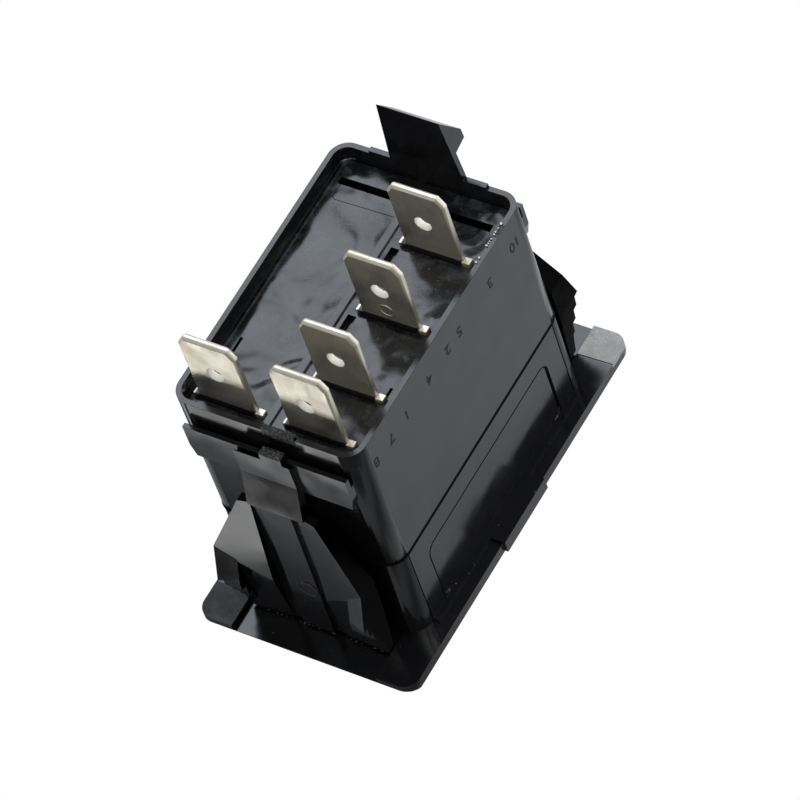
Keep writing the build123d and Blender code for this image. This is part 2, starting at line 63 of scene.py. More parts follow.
# %% Camera
camera_data = bpy.data.cameras.new("camera")
camera_data.lens = 266.0
camera_data.sensor_width = 36.0
camera_data.clip_start = 0.01
camera_data.clip_end = 20.0
camera = bpy.data.objects.new("camera", camera_data)
right = Vector((0.8470, 0.4842, -0.2192))
down = Vector((0.2878, -0.7646, -0.5767))
ahead = Vector((-0.4469, 0.4254, -0.7870))
place = Vector((0.25277, -0.23890, 0.45533))
turn = Matrix((right, -down, -ahead)).transposed().to_4x4()
camera.matrix_world = Matrix.Translation(place) @ turn
bpy.context.collection.objects.link(camera)
bpy.context.scene.camera = camera
print("camera stands", round(place.length, 3), "m from the panel cut-out")

# %% [markdown]
# Everything below is wired with small helpers: one adds a shader node, one feeds a
# socket with a number or with another socket, one does sums, and the rest map a
# value, blend two colours and give noise. They keep each finish short enough to
# read as a recipe.

# %% Wiring helpers
def add(tree, kind, **settings):
    """New shader node with some of its settings."""
    made = tree.nodes.new(kind)
    for key, value in settings.items():
        setattr(made, key, value)
    return made


def feed(tree, socket, value):
    """Links a socket to another one, or writes a plain value on it."""
    if isinstance(value, bpy.types.NodeSocket):
        tree.links.new(value, socket)
    else:
        socket.default_value = value


def maths(tree, operation, *values, clamp=False):
    """Math node on one to three values; gives its result."""
    made = add(tree, "ShaderNodeMath", operation=operation, use_clamp=clamp)
    for socket, value in zip(made.inputs, values):
        feed(tree, socket, value)
    return made.outputs[0]


def spread(tree, value, low, high, to_low=0.0, to_high=1.0):
    """Maps a value from one range to another and stops at its ends."""
    made = add(tree, "ShaderNodeMapRange", interpolation_type="SMOOTHSTEP")
    for socket, number in zip(made.inputs, (value, low, high, to_low, to_high)):
        feed(tree, socket, number)
    return made.outputs[0]


def blend(tree, mask, first, second, kind="RGBA"):
    """Colour, or vector, that goes from first to second as the mask goes from 0 to 1."""
    made = add(tree, "ShaderNodeMix", data_type=kind)
    feed(tree, made.inputs["Factor"], mask)
    feed(tree, made.inputs["A"], first)
    feed(tree, made.inputs["B"], second)
    return made.outputs["Result"]


def cloud(tree, vector, scale, detail=2.0, rough=0.5, twist=0.0):
    """Noise value on a vector."""
    made = add(tree, "ShaderNodeTexNoise")
    feed(tree, made.inputs["Vector"], vector)
    feed(tree, made.inputs["Scale"], scale)
    feed(tree, made.inputs["Detail"], detail)
    feed(tree, made.inputs["Roughness"], rough)
    feed(tree, made.inputs["Distortion"], twist)
    return made.outputs["Fac"]


print("helpers ready")

# %% [markdown]
# A small glossy black thing is seen mostly through what it reflects, so the
# studio matters more than the lamps' power. The table shows in the walls and in
# the blades. Its tone is painted in bands along Y, and a band left of the middle
# glows in reflections alone: both were fitted to what the photographed walls and
# blades reflect, and they are no real table. Cards standing round the switch could
# do the same, but each would show from another side. The camera sees the table as
# plain white, and from below it is clear.

# %% Table
TABLE_Z = -0.0062
BANDS_FROM = -60
BANDS = ((-60, 0.17), (-48, 0.17), (-45, 0.5), (-36, 0.5), (-32, 0.45), (-26, 0.2), (-22, 0.2), (-4, 0.84))
GLOW = 2.5
GLOW_FAR, GLOW_NEAR, GLOW_RIGHT = (-0.048, -0.045), (-0.0365, -0.0335), (-0.007, 0.004)


def banded_tone(tree, y):
    """Grey of the table at each Y, from the list of bands in millimetres."""
    ramp = add(tree, "ShaderNodeValToRGB")
    steps = ramp.color_ramp.elements
    steps.remove(steps[1])
    for at, grey in BANDS[1:]:
        steps.new(1 - at / BANDS_FROM).color = (grey, grey, grey, 1)
    steps[0].color = (BANDS[0][1], BANDS[0][1], BANDS[0][1], 1)
    feed(tree, ramp.inputs[0], maths(tree, "MULTIPLY_ADD", y, -1 / (BANDS_FROM * 0.001), 1.0))
    return ramp.outputs[0]


def glow_strength(tree, parts, path):
    """Strength of the glow that only reflections see."""
    far = spread(tree, parts.outputs["Y"], *GLOW_FAR)
    near = spread(tree, parts.outputs["Y"], *GLOW_NEAR, 1.0, 0.0)
    left = spread(tree, parts.outputs["X"], *GLOW_RIGHT, 1.0, 0.0)
    place = maths(tree, "MULTIPLY", maths(tree, "MULTIPLY", far, near), left)
    return maths(tree, "MULTIPLY", maths(tree, "MULTIPLY", place, path.outputs["Is Glossy Ray"]), GLOW)


def make_table():
    """White table under the switch, seen as plain white and see-through from below."""
    mesh = bpy.data.meshes.new("table")
    bm = bmesh.new()
    bmesh.ops.create_grid(bm, x_segments=1, y_segments=1, size=2.0)
    bmesh.ops.translate(bm, verts=bm.verts, vec=(0, 0, TABLE_Z))
    bm.to_mesh(mesh)
    bm.free()
    table = bpy.data.objects.new("table", mesh)
    bpy.context.collection.objects.link(table)
    material = bpy.data.materials.new("table_white")
    material.use_nodes = True
    tree = material.node_tree
    tree.nodes.clear()
    out = add(tree, "ShaderNodeOutputMaterial")
    matt = add(tree, "ShaderNodeBsdfDiffuse")
    parts = add(tree, "ShaderNodeSeparateXYZ")
    feed(tree, parts.inputs[0], add(tree, "ShaderNodeTexCoord").outputs["Object"])
    path = add(tree, "ShaderNodeLightPath")
    sheen = add(tree, "ShaderNodeEmission")
    feed(tree, matt.inputs["Color"], banded_tone(tree, parts.outputs["Y"]))
    feed(tree, sheen.inputs["Strength"], glow_strength(tree, parts, path))
    lit_table = add(tree, "ShaderNodeAddShader")
    feed(tree, lit_table.inputs[0], matt.outputs[0])
    feed(tree, lit_table.inputs[1], sheen.outputs[0])
    glow = add(tree, "ShaderNodeEmission")
    clear = add(tree, "ShaderNodeBsdfTransparent")
    side = add(tree, "ShaderNodeNewGeometry")
    seen = add(tree, "ShaderNodeMixShader")
    below = add(tree, "ShaderNodeMixShader")
    feed(tree, seen.inputs[0], path.outputs["Is Camera Ray"])
    feed(tree, seen.inputs[1], lit_table.outputs[0])
    feed(tree, seen.inputs[2], glow.outputs[0])
    feed(tree, below.inputs[0], side.outputs["Backfacing"])
    feed(tree, below.inputs[1], seen.outputs[0])
    feed(tree, below.inputs[2], clear.outputs[0])
    feed(tree, out.inputs["Surface"], below.outputs[0])
    mesh.materials.append(material)
    return table


table = make_table()
print("table at z", TABLE_Z)

# %% [markdown]
# The room around the switch is a plain soft sky. Three soft boxes stand in it:
# one behind and above, which gives the bluish sheen on the recess floor, one
# overhead for the table, and one at the far right that lights the table behind
# the numbered wall.

# %% Room and lamps
world = bpy.data.worlds.new("studio")
bpy.context.scene.world = world
world.use_nodes = True
tree = world.node_tree
tree.nodes.clear()
out = add(tree, "ShaderNodeOutputWorld")
white = add(tree, "ShaderNodeBackground")
room = add(tree, "ShaderNodeBackground")
feed(tree, room.inputs["Color"], (0.84, 0.87, 0.92, 1))
feed(tree, room.inputs["Strength"], 0.55)
path = add(tree, "ShaderNodeLightPath")
pick = add(tree, "ShaderNodeMixShader")
feed(tree, pick.inputs[0], path.outputs["Is Camera Ray"])
feed(tree, pick.inputs[1], room.outputs[0])
feed(tree, pick.inputs[2], white.outputs[0])
feed(tree, out.inputs["Surface"], pick.outputs[0])
bpy.context.scene.view_settings.view_transform = "Standard"


def soft_box(name, place, size, power, colour=(1, 1, 1)):
    """Square lamp of that size that faces the switch."""
    data = bpy.data.lights.new(name, "AREA")
    data.shape = "RECTANGLE"
    data.size, data.size_y = size
    data.energy = power
    data.color = colour
    lamp = bpy.data.objects.new(name, data)
    lamp.location = place
    aim = Vector((0, 0, 0.02)) - Vector(place)
    lamp.rotation_euler = aim.to_track_quat("-Z", "Y").to_euler()
    bpy.context.collection.objects.link(lamp)
    return lamp


back_box = soft_box("back_box", (-0.42, 0.40, 0.72), (0.34, 0.30), 1.2, (0.84, 0.91, 1.0))
top_box = soft_box("top_box", (0.15, 0.05, 1.10), (0.40, 0.40), 2.4)
far_box = soft_box("far_box", (0.45, 0.62, 0.30), (0.50, 0.40), 4.0)
print("lamps:", back_box.name, top_box.name, far_box.name)

# %% [markdown]
# Moulded edges are never knife sharp: a radius of a tenth of a millimetre is
# enough to catch a line of light. The CAD solids arrive as loose triangles, so
# each one first has its corners joined and its flat triangles merged, and then a
# bevel rounds every edge that is sharper than the limit. Modifiers do this
# without touching the CAD mesh.

# %% Softened edges
def soften(name, radius, segments=2, sharper_than=32):
    """Rounds the sharp edges of a CAD node with live modifiers."""
    piece = nodes[name]
    join = piece.modifiers.new("join corners", "WELD")
    join.merge_threshold = 0.000002
    flat = piece.modifiers.new("merge flats", "DECIMATE")
    flat.decimate_type = "DISSOLVE"
    flat.angle_limit = math.radians(1.0)
    edge = piece.modifiers.new("round edges", "BEVEL")
    edge.width = radius
    edge.segments = segments
    edge.limit_method = "ANGLE"
    edge.angle_limit = math.radians(sharper_than)
    edge.use_clamp_overlap = True
    edge.harden_normals = True
    return piece


edge_radius = {"housing": 0.12, "bezel": 0.15, "rocker": 0.10, "carrier": 0.10, "chamber_plate": 0.08}
edge_radius["rocker_lens"] = 0.15
for name in nodes:
    if name.startswith("terminal"):
        edge_radius[name] = 0.13
for name, radius in edge_radius.items():
    soften(name, radius * MM)
print("softened:", ", ".join(edge_radius))

# %% [markdown]
# ## Shared surface effects
#
# Four effects come back in several finishes, so each is a node group that is
# built once: the slow waves and fine grain of a moulded skin, fine scratches,
# wear along edges, and settled dust. A group only gives out masks and heights.
# What they do to colour, roughness or relief is decided in each finish.

# %% Group maker
def new_group(name, inputs, outputs):
    """Node group with its sockets; gives the tree, its input node and its output node."""
    tree = bpy.data.node_groups.new(name, "ShaderNodeTree")
    for label, value in inputs.items():
        kind = "NodeSocketVector" if value is None else "NodeSocketFloat"
        socket = tree.interface.new_socket(name=label, in_out="INPUT", socket_type=kind)
        if value is not None:
            socket.default_value = value
    for label in outputs:
        tree.interface.new_socket(name=label, in_out="OUTPUT", socket_type="NodeSocketFloat")
    return tree, add(tree, "NodeGroupInput"), add(tree, "NodeGroupOutput")


def use_group(tree, group, place, **values):
    """Places a group in a finish and sets its inputs, with spaces written as underscores."""
    made = add(tree, "ShaderNodeGroup", node_tree=group)
    feed(tree, made.inputs["Place"], place)
    for label, value in values.items():
        feed(tree, made.inputs[label.replace("_", " ")], value)
    return made.outputs


print("group maker ready")

# %% [markdown]
# A moulded wall is never quite flat: it sinks a little between its ribs as it
# cools, and the tool's own polish leaves a fine grain. Slow noise gives the sink
# marks, fine noise the grain, and a third noise clouds the gloss.

# %% Moulded skin
skin, take, give = new_group(
    "moulded_skin",
    {"Place": None, "Wave Scale": 150.0, "Grain Scale": 6000.0, "Cloud Scale": 260.0},
    ("Wave", "Grain", "Cloud"),
)
feed(skin, give.inputs["Wave"], cloud(skin, take.outputs["Place"], take.outputs["Wave Scale"], 1.0))
feed(skin, give.inputs["Grain"], cloud(skin, take.outputs["Place"], take.outputs["Grain Scale"], 3.0, 0.6))
feed(skin, give.inputs["Cloud"], cloud(skin, take.outputs["Place"], take.outputs["Cloud Scale"], 4.0, 0.6))
print("skin group:", len(skin.nodes), "nodes")

# %% [markdown]
# A scratch is a long thin stretch of noise: the coordinates are squeezed in one
# direction, and only the narrow crests of the noise are kept. Two sets lie at an
# angle to each other, because handling never scratches one way only.

# %% Scratches
scratches, take, give = new_group(
    "fine_scratches",
    {"Place": None, "Scale": 300.0, "Stretch": 14.0, "Amount": 0.5},
    ("Mask",),
)


def scratch_set(angle):
    """Thin crests of noise stretched along one direction."""
    turned = add(scratches, "ShaderNodeVectorRotate", rotation_type="EULER_XYZ")
    feed(scratches, turned.inputs["Vector"], take.outputs["Place"])
    turn = math.radians(angle)
    turned.inputs["Rotation"].default_value = (turn, turn / 3, turn)
    pulled = add(scratches, "ShaderNodeCombineXYZ")
    feed(scratches, pulled.inputs[0], 1.0)
    feed(scratches, pulled.inputs[1], take.outputs["Stretch"])
    feed(scratches, pulled.inputs[2], take.outputs["Stretch"])
    product = add(scratches, "ShaderNodeVectorMath", operation="MULTIPLY")
    feed(scratches, product.inputs[0], turned.outputs[0])
    feed(scratches, product.inputs[1], pulled.outputs[0])
    crest = cloud(scratches, product.outputs[0], take.outputs["Scale"], 2.0, 0.55, 0.3)
    away = maths(scratches, "ABSOLUTE", maths(scratches, "SUBTRACT", crest, 0.5))
    return spread(scratches, away, 0.0, 0.03, 1.0, 0.0)


both = maths(scratches, "MAXIMUM", scratch_set(25.0), scratch_set(-40.0))
patch = spread(scratches, cloud(scratches, take.outputs["Place"], 180.0), 0.45, 0.62)
feed(scratches, give.inputs["Mask"], maths(
    scratches, "MULTIPLY", maths(scratches, "MULTIPLY", both, patch), take.outputs["Amount"], clamp=True))
print("scratch group:", len(scratches.nodes), "nodes")

# %% [markdown]
# Edges rub pale first. The Bevel node gives the normal that the surface would
# have if its edges were round, so where that differs from the true normal there
# is an edge. Noise breaks the line up, because wear is never even.

# %% Edge wear
edge_wear, take, give = new_group(
    "edge_wear", {"Place": None, "Radius": 0.00015, "Scale": 900.0, "Amount": 0.5}, ("Mask",))
rounded = add(edge_wear, "ShaderNodeBevel", samples=4)
feed(edge_wear, rounded.inputs["Radius"], take.outputs["Radius"])
surface = add(edge_wear, "ShaderNodeNewGeometry")
lean = add(edge_wear, "ShaderNodeVectorMath", operation="DOT_PRODUCT")
feed(edge_wear, lean.inputs[0], rounded.outputs[0])
feed(edge_wear, lean.inputs[1], surface.outputs["Normal"])
near_edge = spread(edge_wear, maths(edge_wear, "SUBTRACT", 1.0, lean.outputs["Value"]), 0.005, 0.08)
patches = cloud(edge_wear, take.outputs["Place"], take.outputs["Scale"], 3.0, 0.65)
worn = maths(edge_wear, "MULTIPLY", near_edge, spread(edge_wear, patches, 0.42, 0.62))
feed(edge_wear, give.inputs["Mask"], maths(edge_wear, "MULTIPLY", worn, take.outputs["Amount"], clamp=True))
print("edge wear group:", len(edge_wear.nodes), "nodes")

# %% [markdown]
# Dust settles on what looks up. Fine specks come from the centres of Voronoi
# cells, and the normal's height lets them lie only on upward faces.

# %% Dust
dust, take, give = new_group("settled_dust", {"Place": None, "Scale": 1400.0, "Amount": 0.5}, ("Mask",))
cells = add(dust, "ShaderNodeTexVoronoi")
feed(dust, cells.inputs["Vector"], take.outputs["Place"])
feed(dust, cells.inputs["Scale"], take.outputs["Scale"])
speck = spread(dust, cells.outputs["Distance"], 0.05, 0.12, 1.0, 0.0)
few = spread(dust, cloud(dust, take.outputs["Place"], 700.0, 1.0), 0.58, 0.66)
up = add(dust, "ShaderNodeSeparateXYZ")
feed(dust, up.inputs[0], add(dust, "ShaderNodeNewGeometry").outputs["Normal"])
lies = spread(dust, up.outputs["Z"], 0.3, 0.8)
mask = maths(dust, "MULTIPLY", maths(dust, "MULTIPLY", speck, few), lies)
feed(dust, give.inputs["Mask"], maths(dust, "MULTIPLY", mask, take.outputs["Amount"], clamp=True))
print("dust group:", len(dust.nodes), "nodes")

# %% [markdown]
# ## Finishes
#
# Black nylon with a polished skin has almost no colour of its own. Its greys are
# reflections, so the base colour is close to black, the gloss carries the looks,
# and the waves bend the reflections as sink marks do. Wear and scratches are
# where the skin has turned rough and pale.

# %% Nylon finishes
def start(name):
    """New finish: gives the material, its tree, its main shader and object coordinates."""
    material = bpy.data.materials.new(name)
    material.use_nodes = True
    tree = material.node_tree
    shader = tree.nodes["Principled BSDF"]
    return material, tree, shader, add(tree, "ShaderNodeTexCoord").outputs["Object"]


def bumped(tree, shader, height):
    """Feeds a height in metres to the shader's normal."""
    relief = add(tree, "ShaderNodeBump")
    relief.inputs["Distance"].default_value = 1.0
    feed(tree, relief.inputs["Height"], height)
    feed(tree, shader.inputs["Normal"], relief.outputs[0])


def moulded(name, colour, pale, rough, wave=0.00012, grain=0.0000004, worn=0.4, scratched=0.4, dusty=0.5):
    """Moulded plastic: dark skin, sink marks, grain, worn edges, scratches and dust."""
    material, tree, shader, place = start(name)
    surface = use_group(tree, skin, place)
    wear = use_group(tree, edge_wear, place, Amount=worn)["Mask"]
    lines = use_group(tree, scratches, place, Amount=scratched)["Mask"]
    specks = use_group(tree, dust, place, Amount=dusty)["Mask"]
    rubbed = maths(tree, "MAXIMUM", wear, lines)
    colours = blend(tree, maths(tree, "MULTIPLY", rubbed, 0.35), (*colour, 1), (*pale, 1))
    feed(tree, shader.inputs["Base Color"], blend(tree, specks, colours, (0.42, 0.41, 0.38, 1)))
    gloss = spread(tree, surface["Cloud"], 0.3, 0.7, rough[0], rough[1])
    gloss = maths(tree, "ADD", gloss, maths(tree, "MULTIPLY", rubbed, 0.22))
    feed(tree, shader.inputs["Roughness"], maths(tree, "ADD", gloss, maths(tree, "MULTIPLY", specks, 0.4)))
    relief = maths(tree, "MULTIPLY", surface["Wave"], wave)
    relief = maths(tree, "ADD", relief, maths(tree, "MULTIPLY", surface["Grain"], grain))
    relief = maths(tree, "SUBTRACT", relief, maths(tree, "MULTIPLY", lines, 0.000002))
    bumped(tree, shader, relief)
    shader.inputs["IOR"].default_value = 1.5
    return material


BLACK, PALE, POLISHED = (0.005, 0.0051, 0.0056), (0.05, 0.05, 0.052), (0.12, 0.2)
finish = {
    "housing_nylon": moulded("housing_nylon", BLACK, PALE, POLISHED),
    "rocker_nylon": moulded(
        "rocker_nylon", (0.008, 0.008, 0.0086), (0.06, 0.06, 0.062), (0.28, 0.38), 0.00001, 0.000003),
    "inner_plastic": moulded(
        "inner_plastic", (0.02, 0.02, 0.021), (0.08, 0.08, 0.08), (0.4, 0.5),
        0.00001, 0.000001, 0.2, 0.1, 0.1),
    "seal_rubber": moulded(
        "seal_rubber", (0.012, 0.012, 0.0125), (0.05, 0.05, 0.05), (0.7, 0.8),
        0.00001, 0.000004, 0.1, 0.0, 0.3),
}
print("nylon finishes:", ", ".join(finish))

# %% [markdown]
# The blades are cut from brass strip and plated with tin. The plating is bright
# but not a mirror: the rolled strip leaves fine lines along the blade, and
# handling leaves warm and greenish clouds on the tin.

# %% Metal finishes
def rolled(
        name, colour, stain, rough, lines=0.0000012, along=(1, 1, 0.06), clouds=320.0, bright=(0.98, 0.92)):
    """Metal with fine lines along one direction, clouded stains and a thin dull film."""
    material, tree, shader, place = start(name)
    pulled = add(tree, "ShaderNodeVectorMath", operation="MULTIPLY")
    feed(tree, pulled.inputs[0], place)
    pulled.inputs[1].default_value = along
    streak = cloud(tree, pulled.outputs[0], 9000.0, 2.0, 0.6)
    surface = use_group(tree, skin, place, Cloud_Scale=clouds, Wave_Scale=240.0)
    blot = spread(tree, surface["Cloud"], 0.42, 0.68)
    wear = use_group(tree, scratches, place, Scale=420.0, Amount=0.2)["Mask"]
    lined = maths(tree, "MULTIPLY", spread(tree, streak, 0.45, 0.62), 0.35)
    stained = maths(tree, "MAXIMUM", maths(tree, "MULTIPLY", blot, 0.6), lined)
    tone = blend(tree, stained, (*colour, 1), (*stain, 1))
    feed(tree, shader.inputs["Base Color"], tone)
    gloss = spread(tree, surface["Cloud"], 0.3, 0.7, rough[0], rough[1])
    gloss = maths(tree, "ADD", gloss, maths(tree, "MULTIPLY", streak, 0.12))
    feed(tree, shader.inputs["Roughness"], maths(tree, "ADD", gloss, maths(tree, "MULTIPLY", wear, 0.12)))
    relief = maths(tree, "MULTIPLY", streak, lines)
    relief = maths(tree, "ADD", relief, maths(tree, "MULTIPLY", surface["Wave"], 0.000012))
    bumped(tree, shader, relief)
    feed(tree, shader.inputs["Metallic"], spread(tree, surface["Cloud"], 0.3, 0.7, bright[0], bright[1]))
    return material


finish["plated_blade"] = rolled(
    "plated_blade", (0.82, 0.77, 0.65), (0.58, 0.51, 0.385), (0.24, 0.38), clouds=230.0, bright=(0.95, 0.80))
finish["contact_silver"] = rolled("contact_silver", (0.82, 0.81, 0.79), (0.7, 0.68, 0.64), (0.2, 0.3))
finish["contact_copper"] = rolled(
    "contact_copper", (0.72, 0.43, 0.27), (0.55, 0.30, 0.2), (0.25, 0.35), along=(1, 0.06, 1))
finish["spring_steel"] = rolled("spring_steel", (0.55, 0.55, 0.56), (0.45, 0.45, 0.46), (0.25, 0.35))
print("metal finishes:", ", ".join(list(finish)[-4:]))

# %% [markdown]
# The last few finishes are small: a plunger turned from white acetal, a frosted
# lens, the lamp's clear resin and the resistor's dipped coat with its bands.

# %% Small finishes
def clear_resin(name, colour, rough, through):
    """Clear or frosted plastic that lets light through."""
    material, tree, shader, place = start(name)
    surface = use_group(tree, skin, place)
    feed(tree, shader.inputs["Roughness"], spread(tree, surface["Cloud"], 0.3, 0.7, rough, rough + 0.08))
    shader.inputs["Base Color"].default_value = (*colour, 1)
    shader.inputs["Transmission Weight"].default_value = through
    return material


def banded_coat():
    """Dipped coat with three bands around the resistor's body."""
    material, tree, shader, place = start("resistor_coat")
    low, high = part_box("resistor")
    axis = max(range(3), key=lambda i: high[i] - low[i])
    parts = add(tree, "ShaderNodeSeparateXYZ")
    feed(tree, parts.inputs[0], place)
    along = spread(tree, parts.outputs[axis], low[axis], high[axis])
    ramp = add(tree, "ShaderNodeValToRGB")
    ramp.color_ramp.interpolation = "CONSTANT"
    coat = (0.62, 0.52, 0.36, 1)
    bands = ((0.36, (0.25, 0.1, 0.04, 1)), (0.44, (0.02, 0.02, 0.02, 1)), (0.52, (0.5, 0.05, 0.03, 1)))
    ramp.color_ramp.elements[0].color = coat
    ramp.color_ramp.elements.remove(ramp.color_ramp.elements[1])
    for start_at, colour in bands:
        ramp.color_ramp.elements.new(start_at).color = colour
        ramp.color_ramp.elements.new(start_at + 0.04).color = coat
    feed(tree, ramp.inputs[0], along)
    feed(tree, shader.inputs["Base Color"], ramp.outputs[0])
    shader.inputs["Roughness"].default_value = 0.45
    return material


finish["acetal"] = moulded(
    "acetal", (0.78, 0.77, 0.72), (0.6, 0.58, 0.52), (0.3, 0.4), 0.00001, 0.000002, 0.2, 0.2, 0.1)
finish["lens"] = clear_resin("lens", (0.9, 0.9, 0.88), 0.3, 0.7)
finish["lamp_resin"] = clear_resin("lamp_resin", (0.95, 0.96, 0.97), 0.06, 0.9)
finish["resistor_coat"] = banded_coat()
print("small finishes: acetal, lens, lamp_resin, resistor_coat")

# %% [markdown]
# ## Places that look different
#
# Some places of a finish need their own look: a scuffed pad and a pad with a painted highlight on the
# flange, the undercut sides of the snap wings in painted shade, and painted shade over the blades' feet and
# shoulders.
# A window on the object coordinates picks the place, and what the finish already
# feeds to a socket is changed there only.

# %% Window helpers
def window(tree, value, low, high, soft=0.00012):
    """1 between two limits and 0 outside, with soft ends."""
    rise = spread(tree, value, low - soft, low + soft)
    return maths(tree, "MULTIPLY", rise, spread(tree, value, high - soft, high + soft, 1.0, 0.0))


def region(tree, place, x=None, y=None, z=None, both_ways=False):
    """Mask of a box in space; limits in millimetres, and both_ways reads x and y without sign."""
    parts = add(tree, "ShaderNodeSeparateXYZ")
    feed(tree, parts.inputs[0], place)
    mask = 1.0
    for label, limits in (("X", x), ("Y", y), ("Z", z)):
        if limits is None:
            continue
        value = parts.outputs[label]
        if both_ways and label != "Z":
            value = maths(tree, "ABSOLUTE", value)
        mask = maths(tree, "MULTIPLY", mask, window(tree, value, limits[0] * MM, limits[1] * MM))
    return mask


def change(tree, socket, make):
    """Passes what feeds a socket through one more step."""
    feed(tree, socket, make(socket.links[0].from_socket))


print("window helpers ready")

# %% [markdown]
# The snap wings are hollow behind their wedges, so from the side one looks into a black hollow and not at a
# lit wall. The solid is closed there. Painted shade stands in for the hollow: a black that reflects next to
# nothing, as metal with a black base colour does. Even that shines at a flat angle, so the normal is turned
# up there. A cut in the solid would be the true way.

# %% Painted shade on the hollow sides of the wings
FLANK = {"x": (3.0, 12.0), "y": (17.3, 25.0), "z": (-1.0, 20.5)}
FLANK_SHADE_BLACK, TURN_UP = (0.006, 0.006, 0.0062, 1), (0, 0, 1.3)


def turned_up(tree, normal):
    """Normal of the surface, turned towards +Z."""
    lifted = add(tree, "ShaderNodeVectorMath", operation="ADD")
    feed(tree, lifted.inputs[0], normal)
    lifted.inputs[1].default_value = TURN_UP
    straight = add(tree, "ShaderNodeVectorMath", operation="NORMALIZE")
    feed(tree, straight.inputs[0], lifted.outputs[0])
    return straight.outputs[0]


def shade_hollow_flanks(material):
    """Painted shade: black sides on the snap wings, where the real ones are hollow and in shade."""
    tree = material.node_tree
    shader = tree.nodes["Principled BSDF"]
    wing = region(tree, add(tree, "ShaderNodeTexCoord").outputs["Object"], both_ways=True, **FLANK)
    normal = add(tree, "ShaderNodeNewGeometry").outputs["Normal"]
    parts = add(tree, "ShaderNodeSeparateXYZ")
    feed(tree, parts.inputs[0], normal)
    sideways = spread(tree, maths(tree, "ABSOLUTE", parts.outputs["X"]), 0.4, 0.6)
    flank = maths(tree, "MULTIPLY", wing, sideways)
    change(tree, shader.inputs["Base Color"], lambda old: blend(tree, flank, old, FLANK_SHADE_BLACK))
    feed(tree, shader.inputs["Metallic"], maths(tree, "MULTIPLY", flank, 0.98))
    raised = turned_up(tree, normal)
    change(tree, shader.inputs["Normal"], lambda old: blend(tree, flank, old, raised, "VECTOR"))


shade_hollow_flanks(finish["housing_nylon"])
print("wing sides hollow")

# %% [markdown]
# The recess floor is the widest flat face, so it sank the most between the ribs below it, and it took
# smudges. Its sink marks are slow waves added to the skin's own. A thin pale bluish film lies in patches: it
# is the smudges, and in part a painted sheen of the bluish light that the floor reflects.

# %% Sunk recess floor, smudged and with painted sheen
RECESS_FLOOR = {"x": (-9.7, 9.7), "y": (-15.5, 15.5), "z": (27.0, 27.35)}


def sink_floor(material, deeper, film):
    """Adds deeper waves and a patchy pale film to the recess floor: smudges, and in part painted sheen."""
    tree = material.node_tree
    shader = tree.nodes["Principled BSDF"]
    place = add(tree, "ShaderNodeTexCoord").outputs["Object"]
    floor = region(tree, place, **RECESS_FLOOR)
    relief = next(node for node in tree.nodes if node.type == "BUMP")
    waves = maths(tree, "MULTIPLY", cloud(tree, place, 130.0, 2.0, 0.45, 0.4), deeper)
    waves = maths(tree, "MULTIPLY", waves, floor)
    change(tree, relief.inputs["Height"], lambda old: maths(tree, "ADD", old, waves))
    patches = spread(tree, cloud(tree, place, 480.0, 5.0, 0.68, 0.6), 0.42, 0.72)
    patches = maths(tree, "MULTIPLY", patches, floor)
    # Painted sheen in part: the pale bluish film stands in for reflected bluish light, besides the smudges.
    change(tree, shader.inputs["Base Color"], lambda old: blend(tree, patches, old, (*film, 1)))
    dulled = maths(tree, "MULTIPLY", patches, 0.08)
    change(tree, shader.inputs["Roughness"], lambda old: maths(tree, "ADD", old, dulled))


sink_floor(finish["housing_nylon"], 0.0009, (0.045, 0.048, 0.058))
print("recess floor sunk")

# %% [markdown]
# The flange has been handled: its near left pad is scuffed dull. Its far right pad is pale, a painted
# highlight of the light it reflects, with scratches in it. A dull place is rougher, and a pale one also has
# more colour of its own, both broken up by noise so that no edge shows.

# %% Scuffed pad and painted highlight on the flange's pads
NEAR_PAD = {"x": (-13.0, -8.2), "y": (-22.5, -18.0), "z": (-0.4, 0.3)}
FAR_PAD = {"x": (8.2, 13.0), "y": (18.4, 22.5), "z": (-0.4, 0.3)}


def scuff_and_highlight(material, paint, limits, rough, even=0.1):
    """Makes one pad of the flange dull and paler, with scratches; on the far pad the paleness is a painted
    highlight.
    """
    tree = material.node_tree
    shader = tree.nodes["Principled BSDF"]
    place = add(tree, "ShaderNodeTexCoord").outputs["Object"]
    pad = region(tree, place, **limits)
    lines = use_group(tree, scratches, place, Scale=520.0, Stretch=9.0, Amount=1.0)["Mask"]
    clouded = spread(tree, cloud(tree, place, 900.0, 4.0, 0.7), 0.35, 0.7, even, 0.7)
    rubbed = maths(tree, "ADD", maths(tree, "MULTIPLY", lines, 0.6), clouded, clamp=True)
    tone = maths(tree, "MULTIPLY", pad, rubbed)
    dulled = maths(tree, "MULTIPLY", pad, rough)
    change(tree, shader.inputs["Base Color"], lambda old: blend(tree, tone, old, (*paint, 1)))
    change(tree, shader.inputs["Roughness"], lambda old: maths(tree, "ADD", old, dulled))


finish["bezel_nylon"] = moulded("bezel_nylon", BLACK, PALE, POLISHED)
scuff_and_highlight(finish["bezel_nylon"], PALE, NEAR_PAD, 0.4)
# Painted highlight: the far pad's broad pale colour stands in for the light it reflects; its scratches are
# wear.
scuff_and_highlight(finish["bezel_nylon"], (0.42, 0.41, 0.4), FAR_PAD, 0.12, 0.5)
print("two pads scuffed")

# %% [markdown]
# The blades stand in two columns. Their middles are measured on their meshes above
# the recess, because the hidden legs are not centred. What a finish adds or takes
# away at the blades is placed from these middles.

# %% Columns of the blades
BLADE_W = 6.35


def blade_middle(name):
    """X of the middle of a blade above the recess, in millimetres."""
    tops = [corner.co.x for corner in nodes[name].data.vertices if corner.co.z > 0.034]
    return (min(tops) + max(tops)) / 2 / MM


